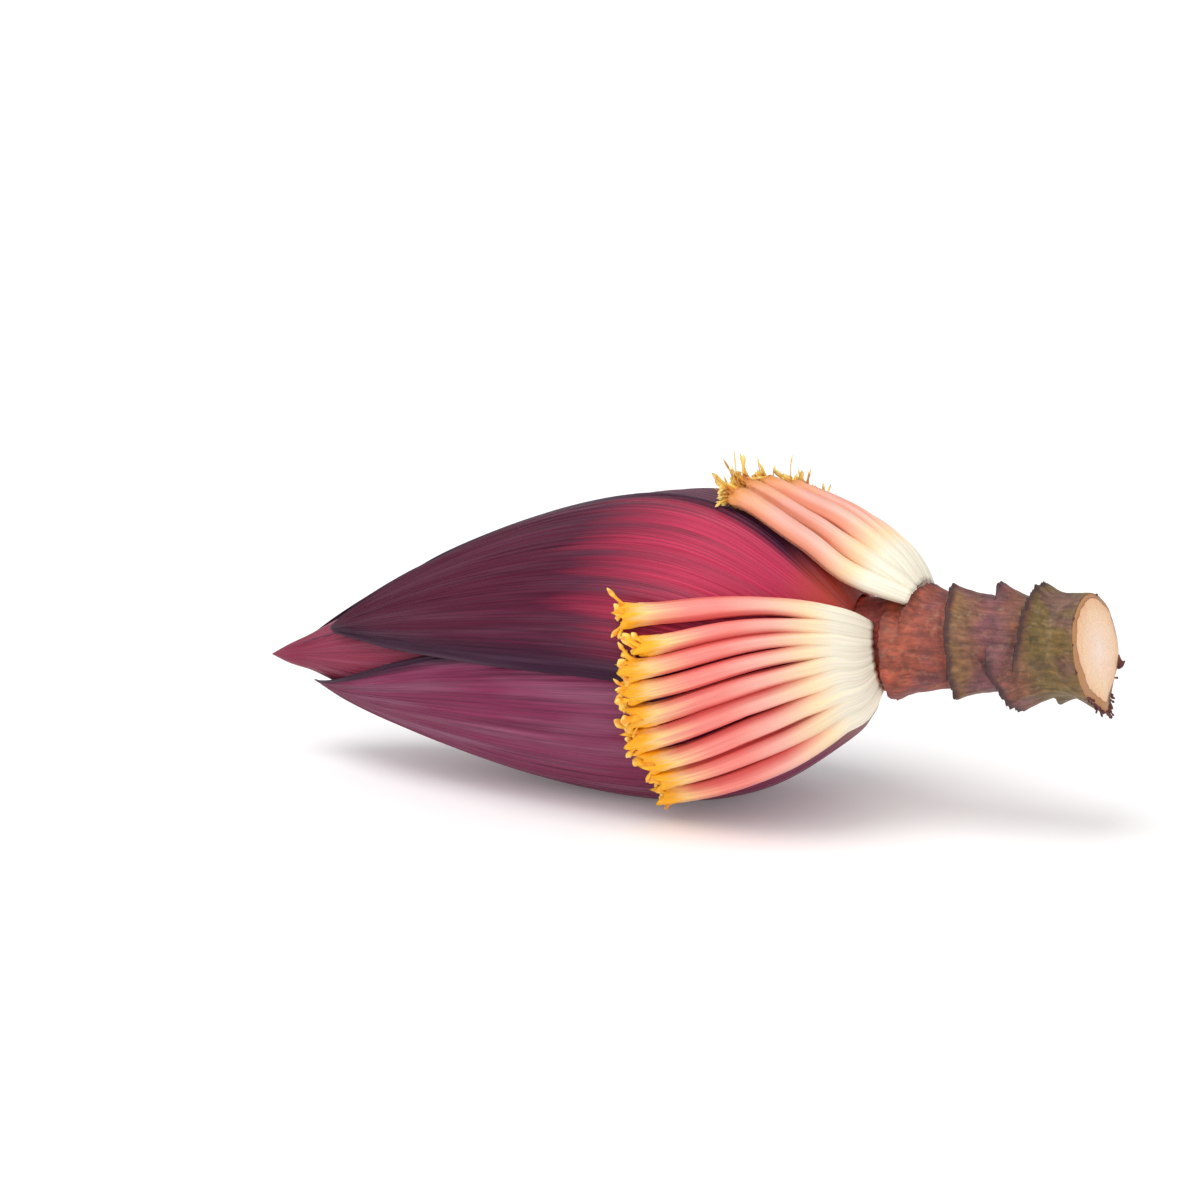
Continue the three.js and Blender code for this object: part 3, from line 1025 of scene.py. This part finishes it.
def stalk_place(look, x, phi, radius):
    """A point of the stalk in bud coordinates: it droops, and its cut runs aslant."""
    end = look.end / MM
    angle = np.radians(phi)
    across = 0.15 * np.cos(angle) + 0.09 * np.sin(angle)
    slant = -radius * across * smooth(x, 42, end)
    # The knife left a notch at the back and a torn tail underneath.
    notch = np.exp(-((((phi + 124 + 180) % 360 - 180) / 24) ** 2))
    tail = np.exp(-((((phi + 84 + 180) % 360 - 180) / 15) ** 2))
    rimward = (radius / (look.radius / MM + 2)) ** 3
    slant = slant + (1.2 * tail - 0.8 * notch) * rimward * smooth(x, end - 8, end)
    radius = radius * (1 + (0.11 * tail - 0.03 * notch) * smooth(x, end - 6, end))
    sag = -STALK_DROOP * np.maximum(0, x) ** 2
    return np.stack([x + slant, -radius * np.cos(angle), radius * np.sin(angle) + sag], -1)


def bark_material(look):
    """Banana peduncle skin: smooth green fibrous tissue, banded dark where bracts broke off.

    Satin, with fine lengthwise fibres; russet by the bud, olive and violet by the cut.
    """
    material, tree = new_material("peduncle_skin")
    bark = node(tree, "ShaderNodeAttribute", attribute_name="bark").outputs["Vector"]
    parts = node(tree, "ShaderNodeSeparateXYZ", {"Vector": bark})
    rim_band, along, dry = parts.outputs
    place = node(tree, "ShaderNodeTexCoord").outputs["Object"]
    # Blotches a centimetre across, stains of 3 mm and corky specks of 2 mm.
    patterns = []
    for scale, detail, rough in ((95.0, 3.0, 0.5), (300.0, 7.0, 0.66), (520.0, 5.0, 0.7)):
        settings = {"Vector": place, "Scale": scale, "Detail": detail, "Roughness": rough}
        patterns.append(node(tree, "ShaderNodeTexNoise", settings).outputs["Fac"])
    blotches, stains, specks = patterns
    # Fibres 1 mm apart that run along the stalk for 2 cm.
    stretched = node(tree, "ShaderNodeMapping", {"Vector": place, "Scale": (60.0, 900.0, 900.0)})
    settings = {"Vector": stretched.outputs[0], "Scale": 1.0, "Detail": 4.0}
    fibres = node(tree, "ShaderNodeTexNoise", settings).outputs["Fac"]
    zone = node(
        tree, "ShaderNodeMath", {0: blotches, 1: 0.16, 2: along}, operation="MULTIPLY_ADD"
    )
    body = node(
        tree,
        "ShaderNodeValToRGB",
        {"Fac": zone.outputs[0]},
        stops=[
            # Far brighter than the root's own red-orange: painted light that lifts the shade of
            # the hands and bracts over it.
            (0.1, linear("#EC6446")),
            (0.26, tuple(look.russet)),
            (0.48, linear("#8A4234")),
            (0.54, linear("#7E5A34")),
            (0.68, linear("#7C4242")),
            (0.8, linear("#7C4C34")),
            (0.88, tuple(look.olive)),
            (1.0, linear("#745A30")),
        ],
    )
    ranges = (
        {0: blotches, 1: 0.5, 2: 0.62, 3: 0.0, 4: 0.5},
        {0: stains, 1: 0.3, 2: 0.7, 3: 0.6, 4: 1.45},
        {0: fibres, 1: 0.32, 2: 0.68, 3: 0.62, 4: 1.3},
        {0: specks, 1: 0.52, 2: 0.74, 3: 0.0, 4: 0.34},
    )
    violet, tone, streaked, corky = (
        node(tree, "ShaderNodeMapRange", settings).outputs[0] for settings in ranges
    )
    # Violet blotches, mottling, fibres, corky specks, the dark band by each scar, its dried edge.
    top = body.outputs[0]
    for blend, share, over in (
        ("MIX", violet, (*linear("#663C4C"), 1)),
        ("MULTIPLY", 1.0, tone),
        ("MULTIPLY", 1.0, streaked),
        ("MIX", corky, (*linear("#B99A78"), 1)),
        ("MIX", rim_band, (*linear("#3C222A"), 1)),
        ("MIX", dry, (*look.scar, 1)),
    ):
        settings = {"data_type": "RGBA", "blend_type": blend}
        top = node(tree, "ShaderNodeMix", {0: share, 6: top, 7: over}, **settings).outputs[2]
    rough = node(tree, "ShaderNodeMath", {0: fibres, 1: stains}, operation="ADD")
    bump = node(
        tree, "ShaderNodeBump", {"Height": rough.outputs[0], "Strength": 0.7, "Distance": 0.0006}
    )
    shader = node(
        tree,
        "ShaderNodeBsdfPrincipled",
        {"Base Color": top, "Roughness": 0.5, "Normal": bump.outputs[0], "IOR": 1.45},
    )
    node(tree, "ShaderNodeOutputMaterial", {"Surface": shader.outputs[0]})
    return material


def flesh_material(look):
    """Freshly cut peduncle: moist pale fibrous flesh, speckled by vessels, browned at its rim."""
    material, tree = new_material("cut_flesh")
    cut = node(tree, "ShaderNodeAttribute", attribute_name="cut").outputs["Vector"]
    parts = node(tree, "ShaderNodeSeparateXYZ", {"Vector": cut})
    x, y, share = parts.outputs
    # Vertical smears of the knife, about 1.5 mm wide, and vessels of half a millimetre.
    stretched = node(tree, "ShaderNodeMapping", {"Vector": cut, "Scale": (9.0, 2.2, 0.0)})
    settings = {"Vector": stretched.outputs[0], "Scale": 1.0, "Detail": 6.0, "Roughness": 0.65}
    smear = node(tree, "ShaderNodeTexNoise", settings).outputs["Fac"]
    settings = {"Vector": cut, "Scale": 26.0, "Detail": 2.0}
    vessels = node(tree, "ShaderNodeTexNoise", settings).outputs["Fac"]
    ring = node(tree, "ShaderNodeMath", {0: smear, 1: 0.5, 2: share}, operation="MULTIPLY_ADD")
    scaled = node(tree, "ShaderNodeMath", {0: ring.outputs[0], 1: 0.7}, operation="MULTIPLY")
    body = node(
        tree,
        "ShaderNodeValToRGB",
        {"Fac": scaled.outputs[0]},
        stops=[
            (0.12, linear("#FFEBDD")),
            (0.35, tuple(look.flesh)),
            (0.62, linear("#FAD3AE")),
            (0.8, linear("#F0BE92")),
            (0.9, linear("#DD9E70")),
        ],
    )
    # The rind shows as a tan rim, widest at the lower front, outside a thin dark line.
    low = node(tree, "ShaderNodeMath", {0: x, 1: y}, operation="ADD")
    wide = node(
        tree, "ShaderNodeMapRange", {0: low.outputs[0], 1: 0.0, 2: -1.3, 3: 0.0, 4: 0.11}
    )
    outer = node(tree, "ShaderNodeMath", {0: share, 1: wide.outputs[0]}, operation="ADD")
    rim = node(
        tree,
        "ShaderNodeMath",
        {0: smear, 1: 0.1, 2: outer.outputs[0]},
        operation="MULTIPLY_ADD",
    )
    rind = node(
        tree,
        "ShaderNodeValToRGB",
        {"Fac": rim.outputs[0]},
        stops=[
            (0.96, linear("#C2805A")),
            (0.985, linear("#7A4A34")),
            (0.995, linear("#C08C5A")),
            (1.0, linear("#B98458")),
        ],
    )
    skin = node(tree, "ShaderNodeMapRange", {0: rim.outputs[0], 1: 0.955, 2: 0.985})
    tone = node(tree, "ShaderNodeMapRange", {0: vessels, 1: 0.3, 2: 0.75, 3: 1.06, 4: 0.84})
    top = body.outputs[0]
    for blend, amount, over in (
        ("MULTIPLY", 1.0, tone.outputs[0]),
        ("MIX", skin.outputs[0], rind.outputs[0]),
    ):
        settings = {"data_type": "RGBA", "blend_type": blend}
        top = node(tree, "ShaderNodeMix", {0: amount, 6: top, 7: over}, **settings).outputs[2]
    bump = node(
        tree, "ShaderNodeBump", {"Height": vessels, "Strength": 0.4, "Distance": 0.0004}
    )
    shader = node(
        tree,
        "ShaderNodeBsdfPrincipled",
        {
            "Base Color": top,
            "Roughness": 0.45,
            "Normal": bump.outputs[0],
            "IOR": 1.38,
            "Subsurface Weight": 0.15,
            "Subsurface Radius": (1.0, 0.6, 0.4),
            "Subsurface Scale": 0.0015,
        },
    )
    node(tree, "ShaderNodeOutputMaterial", {"Surface": shader.outputs[0]})
    return material


class BLOSSOM_OT_stalk(bpy.types.Operator):
    """Adds the stalk with its ring scars"""

    bl_idname = "blossom.stalk"
    bl_label = "Stalk"

    def execute(self, context):
        look = context.scene.blossom_stalk
        bud = Bud(context.scene.blossom_bud)
        piece = flat_sheet("stalk_skin", look.sides, 190)
        grid = coordinates(piece)
        phi, along = grid[:, 0] * 180, (1 + grid[:, 1]) / 2
        start, end, collar = GAP - bud.root, look.end / MM, look.collar / MM
        # The first rows make the plain root inside the hands, the others the skin that shows.
        hidden = 0.03
        inside = mix(start, collar - 0.01, along / hidden)
        bare = mix(collar, end, (along - hidden) / (1 - hidden))
        x = np.where(along < hidden, inside, bare)
        radius, dry, rim_band = stalk_surface(look, x, phi)
        move_vertices(piece, bud.world(stalk_place(look, x, phi, radius)))
        paint(piece, "bark", np.stack([rim_band, x / end, dry], 1))
        close_and_smooth(piece, weld=0.00001)
        dress(piece, bark_material(look), ["stalk"])
        return {"FINISHED"}


# phi, length, half width and half depth of the flap, and where it points.
FLAP = (-160, 4.2, 1.2, 0.45)
FLAP_DIRECTION = (0.25, 0.3, -0.95)


class BLOSSOM_OT_cut_face(bpy.types.Operator):
    """Adds the pale flesh of the cut end and the torn fibres round it"""

    bl_idname = "blossom.cut_face"
    bl_label = "Cut face"

    def execute(self, context):
        look = context.scene.blossom_stalk
        bud = Bud(context.scene.blossom_bud)
        piece = disc("stalk_cut_flesh", 96)
        bpy.ops.object.mode_set(mode="EDIT")
        bpy.ops.mesh.select_all(action="SELECT")
        for _ in range(14):
            bpy.ops.mesh.inset(thickness=0.065)
        bpy.ops.object.mode_set(mode="OBJECT")
        flat = coordinates(piece)
        share = np.hypot(flat[:, 0], flat[:, 1])
        phi = np.degrees(np.arctan2(flat[:, 1], -flat[:, 0]))
        end = look.end / MM
        rim, _, _ = stalk_surface(look, np.full_like(phi, end - 0.05), phi)
        radius = share * (rim - 0.2)
        torn = grain(flat[:, :2] * [2, 9], 92)
        rough = grain(flat[:, :2] * 3, 91) * 0.4 + torn * 0.3
        x = end + 0.55 + 0.5 * (1 - share**2) + rough * (1 - 0.5 * share**6) - 0.5 * share**8
        place = stalk_place(look, np.full_like(phi, end), phi, radius)
        place[:, 0] += x - end
        move_vertices(piece, bud.world(place))
        normal = piece.data.polygons[len(piece.data.polygons) // 2].normal
        if normal.x < 0:
            piece.data.flip_normals()
        cut = np.stack([flat[:, 0], flat[:, 1], share], 1)
        thicken(piece, 1.2 * MM, np.ones(len(cut)))
        close_and_smooth(piece)
        paint(piece, "cut", np.concatenate([cut, cut]))
        dress(piece, flesh_material(look), [])
        self.add_fibres(bud, look)
        return {"FINISHED"}

    def add_fibres(self, bud, look):
        """Torn fibres, most of them along the lower rim of the cut."""
        chance = random.Random(5)
        strand = straight_strand("model_fibre")
        end = look.end / MM
        made = []
        # One torn flap of rind hangs at the back, then come the fibres.
        torn = [FLAP]
        for k in range(60):
            low = k < 48
            phi = chance.gauss(-86, 16) if low else chance.uniform(-180, 180)
            size = chance.uniform(0.9, 2.4) if low else chance.uniform(0.4, 1.0)
            torn.append((phi, size, chance.uniform(0.2, 0.42), chance.uniform(0.12, 0.24)))
        for phi, size, half_width, half_depth in torn:
            at, angle = np.array([end - 0.3]), np.array([float(phi)])
            rim, _, _ = stalk_surface(look, at, angle)
            start = stalk_place(look, at, angle, rim - 0.5)[0]
            turn = math.radians(phi)
            outward = np.array([0, -math.cos(turn), math.sin(turn)])
            ahead = np.array([chance.uniform(0.1, 0.9), 0, 0])
            direction = ahead + outward * chance.uniform(0.4, 1)
            if not made:
                direction = np.array(FLAP_DIRECTION)
            direction /= np.linalg.norm(direction)
            bow = np.array([chance.uniform(-0.4, 0.4) for _ in range(3)])
            path = curled_path(start, direction, size, bow, half_width, half_depth)
            piece = copy_of(strand, "fibre")
            straight = coordinates(piece)
            move_vertices(piece, bud.world(path.bend(straight)))
            x = straight[:, 0]
            paint(piece, "bark", np.stack([0.25 * x, np.full_like(x, 0.3), 0.15 + 0.6 * x], 1))
            made.append(piece)
        joined = join(made, "stalk_fibres")
        dress(joined, bpy.data.materials["peduncle_skin"], [])
        bpy.data.objects.remove(strand)


# ---- Stage ----


def look_at(thing, target):
    thing.rotation_euler = (Vector(target) - thing.location).to_track_quat("-Z", "Y").to_euler()


class BLOSSOM_OT_stage(bpy.types.Operator):
    """Adds the pale floor, the soft lights and the camera"""

    bl_idname = "blossom.stage"
    bl_label = "Stage"

    def execute(self, context):
        look = context.scene.blossom_stage
        clear_selection()
        bpy.ops.mesh.primitive_plane_add(size=60, location=(0, 0, 0))
        floor = context.object
        floor.name = "floor"
        material, tree = new_material("glowing_paper")
        shader = node(
            tree,
            "ShaderNodeBsdfPrincipled",
            {
                "Base Color": (*look.floor, 1),
                "Roughness": 0.9,
                "Specular IOR Level": 0.2,
                # The paper glows faintly: painted light that lifts the shadows on it and lights
                # the blossom from below.
                "Emission Color": (1.0, 1.0, 1.0, 1.0),
                "Emission Strength": 0.1,
            },
        )
        node(tree, "ShaderNodeOutputMaterial", {"Surface": shader.outputs[0]})
        floor.data.materials.append(material)

        world = bpy.data.worlds.new("soft_white")
        world.use_nodes = True
        background = world.node_tree.nodes["Background"]
        background.inputs["Color"].default_value = (1.0, 1.0, 1.0, 1.0)
        # The wall behind is as white as the floor to the eye, and lights the blossom less.
        rays = node(world.node_tree, "ShaderNodeLightPath")
        power = node(
            world.node_tree,
            "ShaderNodeMapRange",
            {0: rays.outputs["Is Camera Ray"], 3: 0.62, 4: 1.1},
        )
        world.node_tree.links.new(power.outputs[0], background.inputs["Strength"])
        context.scene.world = world
        # Broad, even light: each lamp's direction, how wide it looks, and its strength.
        lights = [
            ("top_light", (-0.25, -0.25, 1.0), 40, 1.15),
            ("front_light", (0.25, -0.85, 0.6), 60, 0.85),
        ]
        for name, place, width, power in lights:
            bpy.ops.object.light_add(type="SUN", location=place)
            light = context.object
            light.name = name
            light.data.angle = math.radians(width)
            light.data.energy = power
            look_at(light, (0, 0, 0))

        a, e = look.azimuth, look.elevation
        back = Vector((math.sin(a) * math.cos(e), -math.cos(a) * math.cos(e), math.sin(e)))
        bpy.ops.object.camera_add(location=Vector(look.target) + back * look.distance)
        camera = context.object
        camera.name = "camera"
        camera.data.lens = look.lens
        camera.data.sensor_width = 36.0
        look_at(camera, look.target)
        context.scene.camera = camera
        # The hex colours above are display colours, so they are shown as they are.
        context.scene.view_settings.view_transform = "Standard"
        return {"FINISHED"}


class BLOSSOM_PT_sidebar(bpy.types.Panel):
    """Lists the pieces of the blossom"""

    bl_idname = "BLOSSOM_PT_sidebar"
    bl_label = "Banana Blossom"
    bl_space_type = "VIEW_3D"
    bl_region_type = "UI"
    bl_category = "Blossom"

    def draw(self, context):
        for step in STEPS:
            self.layout.operator(step.bl_idname)
        for key, group in GROUPS.items():
            box = self.layout.box()
            for name in group.__annotations__:
                box.prop(getattr(context.scene, key), name)


GROUPS = {
    "blossom_bud": BLOSSOM_PG_bud,
    "blossom_floret": BLOSSOM_PG_floret,
    "blossom_stalk": BLOSSOM_PG_stalk,
    "blossom_stage": BLOSSOM_PG_stage,
}
STEPS = [
    BLOSSOM_OT_inner_bud,
    BLOSSOM_OT_bracts,
    BLOSSOM_OT_front_hand,
    BLOSSOM_OT_top_hand,
    BLOSSOM_OT_stalk,
    BLOSSOM_OT_cut_face,
    BLOSSOM_OT_stage,
]


def register():
    for kind in [*GROUPS.values(), *STEPS, BLOSSOM_PT_sidebar]:
        bpy.utils.register_class(kind)
    for key, group in GROUPS.items():
        setattr(bpy.types.Scene, key, PointerProperty(type=group))


def unregister():
    for key in GROUPS:
        delattr(bpy.types.Scene, key)
    for kind in [BLOSSOM_PT_sidebar, *reversed(STEPS), *reversed(GROUPS.values())]:
        bpy.utils.unregister_class(kind)


def main():
    register()
    bpy.ops.blossom.inner_bud()
    bpy.ops.blossom.bracts()
    bpy.ops.blossom.front_hand()
    bpy.ops.blossom.top_hand()
    bpy.ops.blossom.stalk()
    bpy.ops.blossom.cut_face()
    bpy.ops.blossom.stage()


if __name__ == "__main__":
    main()
